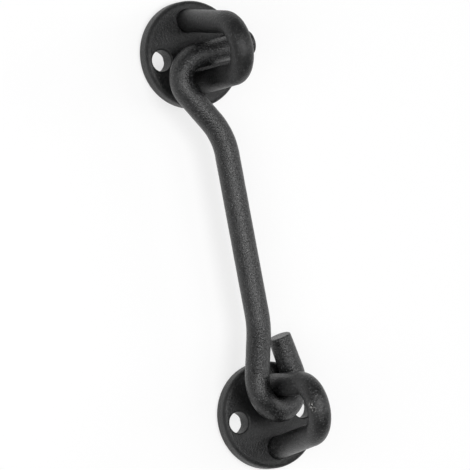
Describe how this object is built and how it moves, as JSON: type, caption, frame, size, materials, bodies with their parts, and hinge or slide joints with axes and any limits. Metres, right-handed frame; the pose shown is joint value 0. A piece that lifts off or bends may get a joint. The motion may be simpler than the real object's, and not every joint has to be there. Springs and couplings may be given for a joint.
{
  "type": "barn door hook latch",
  "caption": "Black barn door hook latch: round plates with bar loops, and a bent bar hook that turns on one loop and drops its tail into the other.",
  "frame": {"origin": "centre of the eye plate's back face, where it lies on the door or wall", "axes": "+Z out of the mounting surface, +X from the eye plate to the catch plate, +Y to the left when +X points up and the plates are seen from the front"},
  "size_m": [0.155, 0.035, 0.041],
  "materials": {
    "plate_coat": "textured",
    "bar_coat": "textured"
  },
  "bodies": {
    "eye_side": {"eye_plate": "plate_coat", "eye_staple": "bar_coat"},
    "hook_bar": {"hook": "bar_coat"},
    "catch_side": {"catch_plate": "plate_coat", "catch_staple": "bar_coat"}
  },
  "joints": [
    {"name": "hook_swing", "type": "hinge", "parent": "eye_side", "child": "hook_bar", "pos_m": [0.00948, 0, 0.01362], "axis": [0, 0, 1], "range_deg": [-1, 134]},
    {"name": "catch_draw", "type": "slide", "parent": "eye_side", "child": "catch_side", "axis": [0, -1, 0], "range_m": [0, 0.04]}
  ]
}
